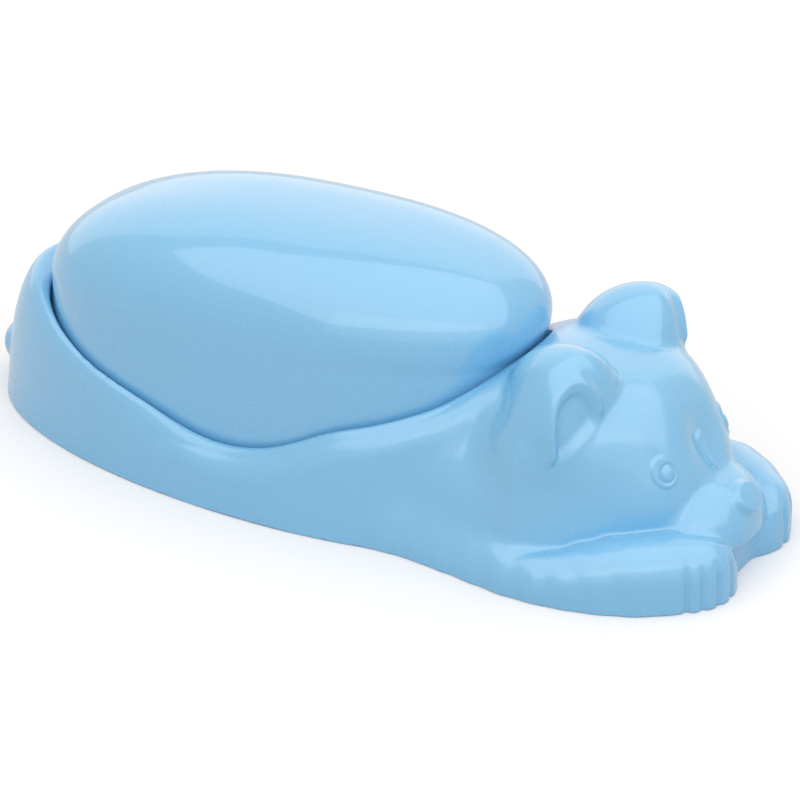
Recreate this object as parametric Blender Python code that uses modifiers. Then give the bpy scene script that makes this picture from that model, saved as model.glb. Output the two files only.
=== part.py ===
# Covered soap dish in the shape of a bear that lies on its belly: a moulded base shell, a lift-off lid
# that makes the bear's back, and a slotted soap rest that stands loose in the well.
# Metres, +Z up. +X runs from the tail to the head. The origin is on the ground, at the middle of the length.

import bmesh
import bpy
import numpy as np
from mathutils import Matrix, Vector

# Plan of the lid: a superellipse
LID_MIDDLE_X = -0.0187
LID_LENGTH = 0.1233
LID_WIDTH = 0.0608
LID_PLAN_POWER = 2.45

# Plan of the body at the ground: two half ellipses that meet at the widest section, out past the lid
TUB_MIDDLE_X = -0.0100
TUB_REAR_MARGIN = 0.01415
TUB_SIDE_MARGIN = 0.0069
TUB_REAR_REACH = TUB_MIDDLE_X - LID_MIDDLE_X + LID_LENGTH / 2 + TUB_REAR_MARGIN
TUB_FRONT_REACH = 0.0760
TUB_HALF_WIDTH = LID_WIDTH / 2 + TUB_SIDE_MARGIN
WALL_DRAFT_SHARE = 0.10

# The rim dips at the bear's side and rises to its tail and its neck
RIM_LOW_X = -0.0200
RIM_REAR_X = -0.0854
RIM_FRONT_X = 0.0446
RIM_LOW_HEIGHT = 0.0146
RIM_REAR_HEIGHT = 0.0363
RIM_FRONT_HEIGHT = 0.0423
RIM_ROUND = 0.0070
REAR_PLACE_SHARES = (0, 0.06, 0.13, 0.32, 0.60, 0.85, 1)
REAR_RISE_SHARES = (0, 0.01, 0.07, 0.26, 0.465, 0.71, 1)
FRONT_PLACE_SHARES = (0, 0.06, 0.14, 0.25, 0.345, 0.43, 0.61, 0.82, 1)
FRONT_RISE_SHARES = (0, 0.005, 0.035, 0.12, 0.24, 0.35, 0.48, 0.68, 1)

# Moulded walls and running gaps
WALL = 0.0022
SEAT_GAP = 0.0003
END_GAP = 0.0001
OVERRUN = 0.0050

# Lid: its skirt stands inside the rim, its wall is upright to the shoulder, and it is domed above that
LID_WALL = 0.0020
LID_GAP = 0.0012
LID_OVERLAP = 0.0050
LID_SHOULDER_RISE = 0.0017
LID_SHOULDER_HEIGHT = RIM_FRONT_HEIGHT - LID_OVERLAP + LID_SHOULDER_RISE
LID_DOME_HEIGHT = 0.0246
LID_TOP_HEIGHT = LID_SHOULDER_HEIGHT + LID_DOME_HEIGHT
LID_LEAN = 0.0076
LID_TILT_SHARE = 0.018
LID_DOME_POWER = 2.45

# Soap well
LEDGE_WIDTH = 0.0030
WELL_FLOOR_HEIGHT = 0.0042

# Slotted soap rest
GRID_THICKNESS = 0.0020
GRID_STAND = 0.0023
GRID_SIDE_GAP = 0.0010
GRID_FOOT_RADIUS = 0.0025
GRID_FOOT_INSET = 0.0090
SLOT_WIDTH = 0.0032
SLOT_PITCH = 0.0078
SLOT_BORDER = 0.0060
SLOT_SPINE = 0.0060

# Head: neck, skull, cheeks and muzzle are ovals whose lower halves stand on straight walls, run into each other
NECK_CENTRE, NECK_RADII, NECK_BLEND = (0.0480, 0.0100), (0.0340, 0.0322, 0.0280), 0.0060
SKULL_CENTRE = (0.0614, 0.0244)
SKULL_REAR_REACH = 0.0240
SKULL_FRONT_REACH = 0.0238
SKULL_HALF_WIDTH = 0.0300
SKULL_HEIGHT = 0.0205
SKULL_POWER = 2.4
SKULL_TAPER_SHARE = 0.32
SKULL_TAPER_LIMIT_SHARES = (-0.25, 1.3)
CHEEK_CENTRE, CHEEK_RADII, CHEEK_BLEND = (0.0715, 0.0182), (0.0182, 0.0211, 0.0145), 0.0080
MUZZLE_CENTRE, MUZZLE_RADII, MUZZLE_BLEND = (0.0874, 0.0095), (0.0116, 0.0155, 0.0135), 0.0025
HEAD_BLEND = 0.0040

# Chest: a low block between the paws
CHEST_MIDDLE_X = 0.0780
CHEST_REACH = 0.0209
CHEST_HALF_WIDTH = 0.0160
CHEST_HEIGHT = 0.0085
CHEST_DRAFT_SHARE = 0.13
CHEST_ROUND = 0.0030
CHEST_BLEND = 0.0015

# Face
NOSE_HEIGHT = 0.0182
NOSE_RADII = (0.0040, 0.0038, 0.0020)
BRIDGE_HEIGHT = 0.0270
BRIDGE_RADII = (0.0011, 0.0042, 0.0010)
EYE_X = 0.0830
EYE_HEIGHT = 0.0270
EYE_HALF_WIDTH = 0.0032
EYE_HALF_HEIGHT = 0.0039
EYE_LINE = 0.0006
PUPIL_RADIUS = 0.0015

# Ears: hoods that lean out, each with a pocket that faces the front and a lobe that runs down beside the neck
EAR_CENTRE = (0.0622, 0.0168, 0.0365)
EAR_REAR_REACH = 0.0170
EAR_FRONT_REACH = 0.0086
EAR_HALF_WIDTH = 0.0125
EAR_HEIGHT = 0.0165
EAR_TURN = 0.33
EAR_TILT = 0.26
EAR_BLEND = 0.0016
EAR_SKIN = 0.0055
LOBE_CENTRE, LOBE_RADII, LOBE_BLEND = (0.0585, 0.0240, 0.0340), (0.0085, 0.0065, 0.0095), 0.0040
POCKET_OFFSET = (0.0095, 0.0058, 0.0045)
POCKET_RADII = (0.0040, 0.0042, 0.0070)

# Arms: rounded walls along a bent line on the ground, from the elbow to the paw, set in from the body's side
ARM_ALONG = (0.0420, 0.0560, 0.0680, 0.0790, 0.0873)
ARM_INSETS = (0.0139, 0.0133, 0.0145, 0.0171, 0.0234)
ARM_PLACES = [(along, TUB_HALF_WIDTH - inset) for along, inset in zip(ARM_ALONG, ARM_INSETS)]
ARM_RADII = (0.0110, 0.0132, 0.0136, 0.0125, 0.0127)
ARM_HEIGHTS = (0.0076, 0.0098, 0.0116, 0.0147, 0.0146)
ARM_ROUND = 0.0090
ARM_BEND_BLEND = 0.0030
CREASE_PLACES = (0.0460, 0.0720)
CREASE_BLENDS = (0.0090, 0.0010)
CREASE_EDGES = (0.0001, 0.0050)
TOE_ANGLES = np.radians((-22, 2, 26, 50))
TOE_GROOVE_RADIUS = 0.0012
TOE_GROOVE_DEPTH = 0.0005

# Tail: a small ball at the rear
TAIL_OUT = 0.0003
TAIL_HEIGHT = 0.0080
TAIL_CENTRE = (TUB_MIDDLE_X - TUB_REAR_REACH - TAIL_OUT, 0, TAIL_HEIGHT)
TAIL_RADII = (0.0051, 0.0080, 0.0080)

# Counts of faces and of samples
AROUND = 64
TURNS = 20
ARCS = 12
LINE_SIDES = 6
TUB_STATIONS = 34
HEAD_STATIONS = 38
SKIN_ARCS = 72
HOLLOW_TUB_STATIONS = 16
HOLLOW_HEAD_STATIONS = 18
HOLLOW_ARCS = 40
RAY_SAMPLES = 160

# Skin: sections are seen from this far under the ground, at this angle and steeper
SIGHT_DEPTH = 0.0300
SIGHT_ANGLE = np.radians(20)
TINY = 1e-9

BLUE = "95C4E8"


def linear(colour):
    """The linear RGB of an sRGB hex colour."""
    values = np.array([int(colour[i:i + 2], 16) / 255 for i in (0, 2, 4)])
    return np.where(values <= 0.04045, values / 12.92, ((values + 0.055) / 1.055) ** 2.4)


def collection(name, hidden=False):
    made = bpy.data.collections.new(name)
    made.hide_render = hidden
    bpy.context.scene.collection.children.link(made)
    return made


def glossy_plastic(name):
    made = bpy.data.materials.new(name)
    made.use_nodes = True
    shader = made.node_tree.nodes["Principled BSDF"]
    shader.inputs["Base Color"].default_value = (*linear(BLUE), 1)
    shader.inputs["Roughness"].default_value = 0.14
    shader.inputs["Metallic"].default_value = 0
    return made


def place(mesh, name, where, helper=True):
    """An object of this mesh in this collection. A helper only shapes other objects."""
    made = bpy.data.objects.new(name, mesh)
    where.objects.link(made)
    mesh.shade_smooth()
    mesh.set_sharp_from_angle(angle=np.radians(35))
    if helper:
        made.hide_render = True
        made.display_type = "WIRE"
    return made


def show(piece):
    piece.hide_render = False
    piece.display_type = "TEXTURED"


def boolean(target, operation, operand):
    step = target.modifiers.new(operand.name, "BOOLEAN")
    step.operation = operation
    step.solver = "MANIFOLD"
    step.object = operand
    return step


def smooth_curve(places, shares, along):
    """A smooth curve through shares at given places: cubic pieces with the mean slope at each point."""
    places, shares = np.array(places, float), np.array(shares, float)
    slopes = np.gradient(shares, places)
    along = np.clip(along, 0, 1)
    k = np.clip(np.searchsorted(places, along) - 1, 0, len(places) - 2)
    width = places[k + 1] - places[k]
    u = (along - places[k]) / width
    return ((2 * u**3 - 3 * u**2 + 1) * shares[k] + (u**3 - 2 * u**2 + u) * width * slopes[k]
            + (3 * u**2 - 2 * u**3) * shares[k + 1] + (u**3 - u**2) * width * slopes[k + 1])


def rim_height(x):
    """Height of the rim's edge over a place along the body."""
    rear = smooth_curve(REAR_PLACE_SHARES, REAR_RISE_SHARES, (RIM_LOW_X - x) / (RIM_LOW_X - RIM_REAR_X))
    front = smooth_curve(FRONT_PLACE_SHARES, FRONT_RISE_SHARES, (x - RIM_LOW_X) / (RIM_FRONT_X - RIM_LOW_X))
    return (RIM_LOW_HEIGHT + (RIM_REAR_HEIGHT - RIM_LOW_HEIGHT) * rear
            + (RIM_FRONT_HEIGHT - RIM_LOW_HEIGHT) * front)


ANGLES = np.linspace(0, 2 * np.pi, AROUND, endpoint=False)


def lid_outline(offset, scale=1):
    """Plan of the lid, let out by this much: a superellipse."""
    def turned(values):
        return np.sign(values) * np.abs(values) ** (2 / LID_PLAN_POWER)
    x = LID_MIDDLE_X + (LID_LENGTH / 2 + offset) * scale * turned(np.cos(ANGLES))
    y = (LID_WIDTH / 2 + offset) * scale * turned(np.sin(ANGLES))
    return x, y


def ring(x, y, z):
    return np.stack([x, y, np.broadcast_to(z, x.shape)], axis=1)


def loft(name, rings, where, closed=True, tips=(None, None)):
    """A skin over rings of as many points each, ended by a tip or a flat face. An open one has no first end."""
    mesh = bpy.data.meshes.new(name)
    bm = bmesh.new()
    rows = [[bm.verts.new(point) for point in points] for points in rings]
    for low, high in zip(rows, rows[1:]):
        for i in range(len(low)):
            bm.faces.new((low[i - 1], low[i], high[i], high[i - 1]))
    for tip, row in zip(tips, (rows[0][::-1], rows[-1])):
        if tip is not None:
            peak = bm.verts.new(tip)
            for i in range(len(row)):
                bm.faces.new((row[i - 1], row[i], peak))
        elif closed:
            bm.faces.new(row)
    if closed:
        bmesh.ops.triangulate(bm, faces=bm.faces)
        bmesh.ops.recalc_face_normals(bm, faces=bm.faces)
    bm.to_mesh(mesh)
    bm.free()
    return place(mesh, name, where)


def smooth_min(a, b, blend):
    """The lesser of two fields, with a fillet about this wide where they meet."""
    share = np.clip(0.5 + 0.5 * (b - a) / blend, 0, 1)
    return b + (a - b) * share - blend * share * (1 - share)


def smooth_max(a, b, blend):
    return -smooth_min(-a, -b, blend)


def oval(place, radii, power=2):
    """Distance to an oval, less than zero inside it, at a place measured from its centre."""
    parts = [np.abs(step) / radius for step, radius in zip(place, radii)]
    size = sum(part ** power for part in parts) ** (1 / power) + TINY
    slope = np.sqrt(sum((part ** (power - 1) / radius) ** 2 for part, radius in zip(parts, radii)))
    return (size - 1) / (slope * size ** (1 - power) + TINY)


def standing_oval(x, y, z, centre, radii):
    """Distance to an oval whose lower half is a straight wall down to the ground."""
    return oval((x - centre[0], y, np.maximum(z - centre[1], 0)), radii)


def tub_field(x, y, z):
    """Distance to the body: an oval plan whose wall leans in, under a top that follows the rim."""
    reach = np.where(x < TUB_MIDDLE_X, TUB_REAR_REACH, TUB_FRONT_REACH)
    wall = oval((x - TUB_MIDDLE_X, y), (reach, TUB_HALF_WIDTH)) + WALL_DRAFT_SHARE * z
    step = RIM_ROUND / 8
    lean = (rim_height(x + step) - rim_height(x - step)) / (2 * step)
    return smooth_max(wall, (z - rim_height(x)) / np.sqrt(1 + lean**2), RIM_ROUND)


def head_field(x, y, z):
    """Distance to skull, cheeks and muzzle run into one. The skull narrows towards the front."""
    ahead = x - SKULL_CENTRE[0]
    reach = np.where(ahead < 0, SKULL_REAR_REACH, SKULL_FRONT_REACH)
    along = np.clip(ahead / SKULL_FRONT_REACH, *SKULL_TAPER_LIMIT_SHARES)
    radii = (reach, SKULL_HALF_WIDTH * (1 - SKULL_TAPER_SHARE * along), SKULL_HEIGHT)
    skull = oval((ahead, y, np.maximum(z - SKULL_CENTRE[1], 0)), radii, SKULL_POWER)
    head = smooth_min(skull, standing_oval(x, y, z, CHEEK_CENTRE, CHEEK_RADII), CHEEK_BLEND)
    return smooth_min(head, standing_oval(x, y, z, MUZZLE_CENTRE, MUZZLE_RADII), MUZZLE_BLEND)


def ear_place(x, y, z):
    """A place in the ear's own axes: it leans outwards and turns a little towards the side."""
    x, y, z = x - EAR_CENTRE[0], y - EAR_CENTRE[1], z - EAR_CENTRE[2]
    y, z = np.cos(EAR_TILT) * y - np.sin(EAR_TILT) * z, np.sin(EAR_TILT) * y + np.cos(EAR_TILT) * z
    return np.cos(EAR_TURN) * x + np.sin(EAR_TURN) * y, np.cos(EAR_TURN) * y - np.sin(EAR_TURN) * x, z


def ear_field(x, y, z):
    place_in_ear = ear_place(x, y, z)
    reach = np.where(place_in_ear[0] < 0, EAR_REAR_REACH, EAR_FRONT_REACH)
    return oval(place_in_ear, (reach, EAR_HALF_WIDTH, EAR_HEIGHT))


def arm_field(x, y, z):
    """Distance to a row of walls with rounded tops along the arm's bent line."""
    found = None
    stations = list(zip(ARM_PLACES, ARM_RADII, ARM_HEIGHTS))
    for (start, radius, height), (end, next_radius, next_height) in zip(stations, stations[1:]):
        run = (end[0] - start[0], end[1] - start[1])
        share = ((x - start[0]) * run[0] + (y - start[1]) * run[1]) / (run[0] ** 2 + run[1] ** 2)
        share = np.clip(share, 0, 1)
        side = np.hypot(x - start[0] - share * run[0], y - start[1] - share * run[1])
        side -= radius + (next_radius - radius) * share
        part = smooth_max(side, z - height - (next_height - height) * share, ARM_ROUND)
        found = part if found is None else smooth_min(found, part, ARM_BEND_BLEND)
    return found


def trunk_field(x, y, z):
    """Distance to all the outer forms but the ears and the tail."""
    y = np.abs(y)
    shape = smooth_min(tub_field(x, y, z), standing_oval(x, y, z, NECK_CENTRE, NECK_RADII), NECK_BLEND)
    shape = smooth_min(shape, head_field(x, y, z), HEAD_BLEND)
    limb = arm_field(x, y, z) + smooth_max(0, -shape, np.interp(x, CREASE_PLACES, CREASE_EDGES))
    shape = smooth_min(shape, limb, np.interp(x, CREASE_PLACES, CREASE_BLENDS))
    chest = np.abs(x - CHEST_MIDDLE_X) - CHEST_REACH + CHEST_DRAFT_SHARE * z
    chest = smooth_max(chest, y - CHEST_HALF_WIDTH, CHEST_ROUND)
    return smooth_min(shape, smooth_max(chest, z - CHEST_HEIGHT, CHEST_ROUND), CHEST_BLEND)


def outer_field(x, y, z):
    """Distance to the trunk with its ears and their lobes."""
    y = np.abs(y)
    shape = smooth_min(trunk_field(x, y, z), ear_field(x, y, z), EAR_BLEND)
    lobe = oval((x - LOBE_CENTRE[0], y - LOBE_CENTRE[1], z - LOBE_CENTRE[2]), LOBE_RADII)
    return smooth_min(shape, lobe, LOBE_BLEND)


def hollow_field(x, y, z):
    """Distance to the hollow: one wall inside the trunk, with a deeper skin in the ears."""
    y = np.abs(y)
    return smooth_min(trunk_field(x, y, z) + WALL, ear_field(x, y, z) + EAR_SKIN, EAR_BLEND)


def eased(table):
    """A table whose entries are drawn towards their neighbours, along its columns and then along its rows."""
    for _ in table.shape:
        padded = np.pad(table, ((1, 1), (0, 0)), mode="edge")
        table = ((padded[:-2] + 2 * table + padded[2:]) / 4).T
    return table


def skin_form(name, field, ends, counts, arcs, under, where):
    """Sections of a field across the body. Each point of a section is the furthest skin seen in its direction
    from a place deep under the ground, and a direction that meets no skin stops this far under the ground."""
    rear, front = ends
    turn = np.linspace(np.pi / 2, np.pi, counts[0])
    tub_places = NECK_CENTRE[0] + (NECK_CENTRE[0] - rear) * np.cos(turn)
    turn = np.linspace(0, np.pi / 2, counts[1])
    head_places = NECK_CENTRE[0] + (front - NECK_CENTRE[0]) * np.sin(turn)
    places = np.concatenate((tub_places[::-1], head_places[1:]))
    angles = np.linspace(SIGHT_ANGLE, np.pi - SIGHT_ANGLE, arcs)
    reach = np.linspace(0, SIGHT_DEPTH + 2 * TUB_HALF_WIDTH, RAY_SAMPLES)
    x, angle, far = np.meshgrid(places, angles, reach, indexing="ij")
    values = field(x, far * np.cos(angle), far * np.sin(angle) - SIGHT_DEPTH)
    inside = values < 0
    last = np.where(inside.any(axis=2), RAY_SAMPLES - 1 - np.argmax(inside[..., ::-1], axis=2), 0)
    here, beyond = (np.take_along_axis(values, last[..., None] + i, axis=2)[..., 0] for i in (0, 1))
    share = np.where(here < 0, here / (here - beyond), 0)
    radius = eased(np.maximum(reach[last] + share * reach[1], (SIGHT_DEPTH - under) / np.sin(angles)))
    rings = []
    for place_x, radii in zip(places, radius):
        y, z = radii * np.cos(angles), radii * np.sin(angles) - SIGHT_DEPTH
        y, z = np.concatenate((y[:1], y, y[-1:])), np.concatenate(((-SIGHT_DEPTH,), z, (-SIGHT_DEPTH,)))
        rings.append(ring(np.full(len(y), place_x), y, z))
    tips = [(place_x, 0, END_GAP - SIGHT_DEPTH) for place_x in ends]
    return loft(name, rings, where, tips=tips)


def on_skin(x, height, side):
    """A matrix that sets a shape on the head's skin: its z looks out, its y up and its x along the skin.
    Without a place along the body, the skin is sought on the middle line."""
    reach = np.linspace(0, 2 * TUB_HALF_WIDTH, RAY_SAMPLES * RAY_SAMPLES)
    if x is None:
        ahead = SKULL_CENTRE[0] + reach
        middle = np.array((ahead[np.argmax(outer_field(ahead, 0 * ahead, height + 0 * ahead) > 0)], 0, height))
    else:
        outward = outer_field(x + 0 * reach, reach, height + 0 * reach)
        middle = np.array((x, reach[np.argmax(outward > 0)], height))
    steps = EYE_LINE * np.eye(3)
    out = Vector([float(outer_field(*(middle + step)) - outer_field(*(middle - step))) for step in steps])
    if x is None:
        out.y = 0
    out.normalize()
    middle, out = Vector(middle), Vector(out)
    middle.y *= side
    out.y *= side
    along = Vector((0, 0, 1)).cross(out).normalized()
    turned = Matrix((along, out.cross(along), out)).transposed().to_4x4()
    return Matrix.Translation(middle) @ turned


def ellipsoid(name, matrix, radii, where):
    mesh = bpy.data.meshes.new(name)
    bm = bmesh.new()
    bmesh.ops.create_uvsphere(bm, u_segments=TURNS, v_segments=ARCS, radius=1)
    bm.transform(matrix @ Matrix.Diagonal((*radii, 1)))
    bm.to_mesh(mesh)
    bm.free()
    return place(mesh, name, where)


def raised_ring(name, matrix, radii, line, where):
    """A raised line round an ellipse: a torus drawn to the ellipse's two radii."""
    bpy.ops.mesh.primitive_torus_add(major_segments=TURNS, minor_segments=LINE_SIDES,
                                     major_radius=1, minor_radius=line / max(radii))
    torus = bpy.context.object
    mesh = torus.data
    bpy.data.objects.remove(torus)
    mesh.transform(matrix @ Matrix.Diagonal((*radii, max(radii), 1)))
    mesh.name = name
    return place(mesh, name, where)


def well_form(name, wall, top, where):
    """The space for the soap and the lid's skirt, or with a wall the block that this space is sunk in."""
    inner = lid_outline(LID_GAP - LEDGE_WIDTH + wall)
    outer = lid_outline(LID_GAP + wall)
    low, high = rim_height(inner[0]), rim_height(outer[0])
    rings = [ring(*inner, WELL_FLOOR_HEIGHT - wall), ring(*inner, low - LID_OVERLAP - wall),
             ring(*outer, high - LID_OVERLAP - wall), ring(*outer, top)]
    return loft(name, rings, where)


def ground_form(name, where):
    """All that lies below the surface that the dish stands on."""
    bm = bmesh.new()
    bmesh.ops.create_cube(bm, size=1)
    reach = TUB_FRONT_REACH + TUB_REAR_REACH + CHEST_REACH
    deep = 2 * SIGHT_DEPTH
    bm.transform(Matrix.Translation((0, 0, -deep / 2)) @ Matrix.Diagonal((2 * reach, reach, deep, 1)))
    mesh = bpy.data.meshes.new(name)
    bm.to_mesh(mesh)
    bm.free()
    return place(mesh, name, where)


def pocket_form(word, side, helpers):
    """The space of the pocket in the ear's front, in the ear's own axes."""
    turned = Matrix.Rotation(EAR_TILT, 4, "X").inverted() @ Matrix.Rotation(EAR_TURN, 4, "Z")
    matrix = Matrix.Translation(EAR_CENTRE) @ turned @ Matrix.Translation(POCKET_OFFSET)
    pocket = ellipsoid(f"{word}_ear_pocket", matrix, POCKET_RADII, helpers)
    if side < 0:
        pocket.data.transform(Matrix.Diagonal((1, -1, 1, 1)))
        pocket.data.flip_normals()
    return pocket


def base_shell(where, helpers):
    """The moulded base: the outer forms, less the hollow that leaves a wall all round the well, less the well."""
    sides = ((-1, "right"), (1, "left"))
    rear = TUB_MIDDLE_X - TUB_REAR_REACH + END_GAP
    front = ARM_PLACES[-1][0] + ARM_RADII[-1] - END_GAP
    counts = (TUB_STATIONS, HEAD_STATIONS)
    shell = skin_form("base_shell", outer_field, (rear, front), counts, SKIN_ARCS, OVERRUN / 2, where)
    show(shell)
    boolean(shell, "UNION", ellipsoid("tail", Matrix.Translation(TAIL_CENTRE), TAIL_RADII, helpers))

    counts = (HOLLOW_TUB_STATIONS, HOLLOW_HEAD_STATIONS)
    ends = (rear + 2 * WALL, front - 2 * WALL)
    hollow = skin_form("hollow", hollow_field, ends, counts, HOLLOW_ARCS, OVERRUN, helpers)
    boolean(hollow, "DIFFERENCE", well_form("well_block", WALL, LID_TOP_HEIGHT + WALL, helpers))
    boolean(shell, "DIFFERENCE", hollow)
    boolean(shell, "DIFFERENCE", well_form("well", 0, LID_TOP_HEIGHT, helpers))

    features = [ellipsoid("nose", on_skin(None, NOSE_HEIGHT, 1), NOSE_RADII, helpers),
                ellipsoid("nose_bridge", on_skin(None, BRIDGE_HEIGHT, 1), BRIDGE_RADII, helpers)]
    for side, word in sides:
        eye = on_skin(EYE_X, EYE_HEIGHT, side)
        radii = (EYE_HALF_WIDTH - EYE_LINE, EYE_HALF_HEIGHT - EYE_LINE)
        features.append(raised_ring(f"{word}_eye", eye, radii, EYE_LINE, helpers))
        features.append(raised_ring(f"{word}_pupil", eye, (PUPIL_RADIUS, PUPIL_RADIUS), EYE_LINE, helpers))
    for form in features:
        boolean(shell, "UNION", form)
    for side, word in sides:
        boolean(shell, "DIFFERENCE", pocket_form(word, side, helpers))
        for i, angle in enumerate(TOE_ANGLES):
            out = ARM_RADII[-1] + TOE_GROOVE_RADIUS - TOE_GROOVE_DEPTH
            x = ARM_PLACES[-1][0] + out * np.cos(angle)
            y = side * (ARM_PLACES[-1][1] + out * np.sin(angle))
            radii = (TOE_GROOVE_RADIUS, TOE_GROOVE_RADIUS, ARM_HEIGHTS[-1])
            groove = ellipsoid(f"{word}_toe_{i + 1}", Matrix.Translation((x, y, 0)), radii, helpers)
            boolean(shell, "DIFFERENCE", groove)
    boolean(shell, "DIFFERENCE", ground_form("ground", helpers))
    return shell


def lid_shell(where):
    """The lid: a skirt that follows the rim, a domed top over it, and one wall inwards."""
    x, y = lid_outline(0)
    bottom = rim_height(x) - LID_OVERLAP + SEAT_GAP
    shoulder = LID_SHOULDER_HEIGHT + LID_TILT_SHARE * (x - LID_MIDDLE_X)
    rings = [ring(x, y, bottom + (shoulder - bottom) * share) for share in (0, 0.5)]
    for angle in np.radians((0, 12, 24, 35, 46, 56, 66, 75, 83)):
        width = np.cos(angle) ** (2 / LID_DOME_POWER)
        rise = np.sin(angle) ** (2 / LID_DOME_POWER)
        x2, y2 = lid_outline(0, width)
        z = LID_SHOULDER_HEIGHT + LID_DOME_HEIGHT * rise + LID_TILT_SHARE * (x2 - LID_MIDDLE_X)
        rings.append(ring(x2 + LID_LEAN * rise, y2, z))
    lid = loft("lid", rings, where, closed=False, tips=(None, (LID_MIDDLE_X + LID_LEAN, 0, LID_TOP_HEIGHT)))
    show(lid)
    wall = lid.modifiers.new("wall", "SOLIDIFY")
    wall.thickness = LID_WALL
    wall.offset = -1
    wall.use_even_offset = True
    return lid


def drain_grid(where, helpers):
    """The soap rest: a plate in the well's plan, two rows of slots beside a spine, and six feet."""
    side_offset = LID_GAP - LEDGE_WIDTH - GRID_SIDE_GAP
    x, y = lid_outline(side_offset)
    under = WELL_FLOOR_HEIGHT + SEAT_GAP + GRID_STAND
    grid = loft("drain_grid", [ring(x, y, under), ring(x, y, under + GRID_THICKNESS)], where)
    show(grid)
    half_length = LID_LENGTH / 2 + side_offset
    half_width = LID_WIDTH / 2 + side_offset
    reach = half_length - SLOT_BORDER - SLOT_WIDTH / 2
    count = int(reach / SLOT_PITCH)
    for i in range(-count, count + 1):
        along = i * SLOT_PITCH
        share = (1 - (abs(along) + SLOT_WIDTH / 2) ** LID_PLAN_POWER / half_length ** LID_PLAN_POWER)
        far = half_width * share ** (1 / LID_PLAN_POWER) - SLOT_BORDER
        near = SLOT_SPINE / 2
        if far - near < SLOT_WIDTH:
            continue
        for side in (-1, 1):
            place_y = side * (far + near) / 2
            mesh = bpy.data.meshes.new("slot")
            bm = bmesh.new()
            bmesh.ops.create_cube(bm, size=1)
            size = (SLOT_WIDTH, far - near, 2 * GRID_THICKNESS)
            centre = (LID_MIDDLE_X + along, place_y, under + GRID_THICKNESS / 2)
            bm.transform(Matrix.Translation(centre) @ Matrix.Diagonal((*size, 1)))
            bm.to_mesh(mesh)
            bm.free()
            boolean(grid, "DIFFERENCE", place(mesh, f"slot_{i + count}_{side}", helpers))
    for along in (-1, 0, 1):
        for side in (-1, 1):
            foot_x = LID_MIDDLE_X + along * (half_length / 2)
            foot_y = side * (half_width - GRID_FOOT_INSET)
            name = f"foot_{along}_{side}"
            mesh = bpy.data.meshes.new(name)
            bm = bmesh.new()
            tall = GRID_STAND + GRID_THICKNESS / 2
            bmesh.ops.create_cone(bm, cap_ends=True, segments=12, radius1=GRID_FOOT_RADIUS,
                                  radius2=GRID_FOOT_RADIUS, depth=tall)
            bm.transform(Matrix.Translation((foot_x, foot_y, under - GRID_STAND + tall / 2)))
            bm.to_mesh(mesh)
            bm.free()
            boolean(grid, "UNION", place(mesh, name, helpers))
    return grid


for old in list(bpy.data.objects):
    bpy.data.objects.remove(old)
dish = collection("covered_soap_dish")
shaping = collection("shaping_forms", hidden=True)
for piece in (base_shell(dish, shaping), lid_shell(dish), drain_grid(dish, shaping)):
    piece.data.materials.append(glossy_plastic(f"{piece.name}_plastic"))
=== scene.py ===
import math
import bpy
import numpy as np
from mathutils import Matrix, Vector


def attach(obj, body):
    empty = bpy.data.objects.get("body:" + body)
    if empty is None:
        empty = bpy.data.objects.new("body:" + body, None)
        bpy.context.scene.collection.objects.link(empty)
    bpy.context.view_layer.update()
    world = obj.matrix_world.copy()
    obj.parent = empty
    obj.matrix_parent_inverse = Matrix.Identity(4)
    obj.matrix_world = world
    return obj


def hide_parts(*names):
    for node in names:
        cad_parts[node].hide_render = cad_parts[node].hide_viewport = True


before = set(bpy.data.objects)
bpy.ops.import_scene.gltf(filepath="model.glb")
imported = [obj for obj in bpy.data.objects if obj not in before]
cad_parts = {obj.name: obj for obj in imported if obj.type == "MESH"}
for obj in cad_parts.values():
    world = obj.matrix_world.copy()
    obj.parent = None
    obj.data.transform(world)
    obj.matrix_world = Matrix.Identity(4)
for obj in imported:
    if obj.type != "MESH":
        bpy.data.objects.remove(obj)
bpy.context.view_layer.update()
scene = bpy.context.scene
mm = 0.001  # every size below is in millimetres
tiny = 1e-9  # keeps a division away from zero

meshing = {
    "difference": 0.04,   # mm to each side, over which a field's slope is taken
    "reach": 0.6,         # mm, the longest move towards the surface in one round
    "settle": 3, "settleNew": 2, "settleLast": 1,   # rounds of moves: first, for new points, at the end
    "even": 2, "slide": 0.5, "slideLast": 0.4,      # rounds, and share of the way to the neighbours' mean
    "bend": 0.975,        # cosine between the normals at an edge's ends, below which it is cut
}


# Small tools

def smoothMin(a, b, k):
    # the smaller of two fields, with a fillet about k wide where they meet
    h = np.clip(0.5 + 0.5 * (b - a) / k, 0, 1)
    return b + (a - b) * h - k * h * (1 - h)


def smoothMax(a, b, k):
    return -smoothMin(-a, -b, k)


def smoothStep(value, low, high):
    t = np.clip((value - low) / (high - low), 0, 1)
    return t * t * (3 - 2 * t)


def ovalField(u, v, w, radii, power=2.0):
    # distance to an oval: (|u/a|^p + |v/b|^p + |w/c|^p)^(1/p) - 1, over its own slope
    a, b, c = radii
    u, v, w = np.abs(u) / a, np.abs(v) / b, np.abs(w) / c
    size = (u**power + v**power + w**power) ** (1 / power) + tiny
    steep = (u**(power - 1) / a)**2 + (v**(power - 1) / b)**2 + (w**(power - 1) / c)**2
    return (size - 1) / (np.sqrt(steep) * size**(1 - power) + tiny)


def oval(x, y, z, at, radii):
    return ovalField(x - at[0], y - at[1], z - at[2], radii)


def standing(x, y, z, at, radii):
    # an oval whose upper half stands on a straight foot
    return ovalField(x - at[0], y - at[1], np.maximum(z - at[2], 0), radii)


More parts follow.
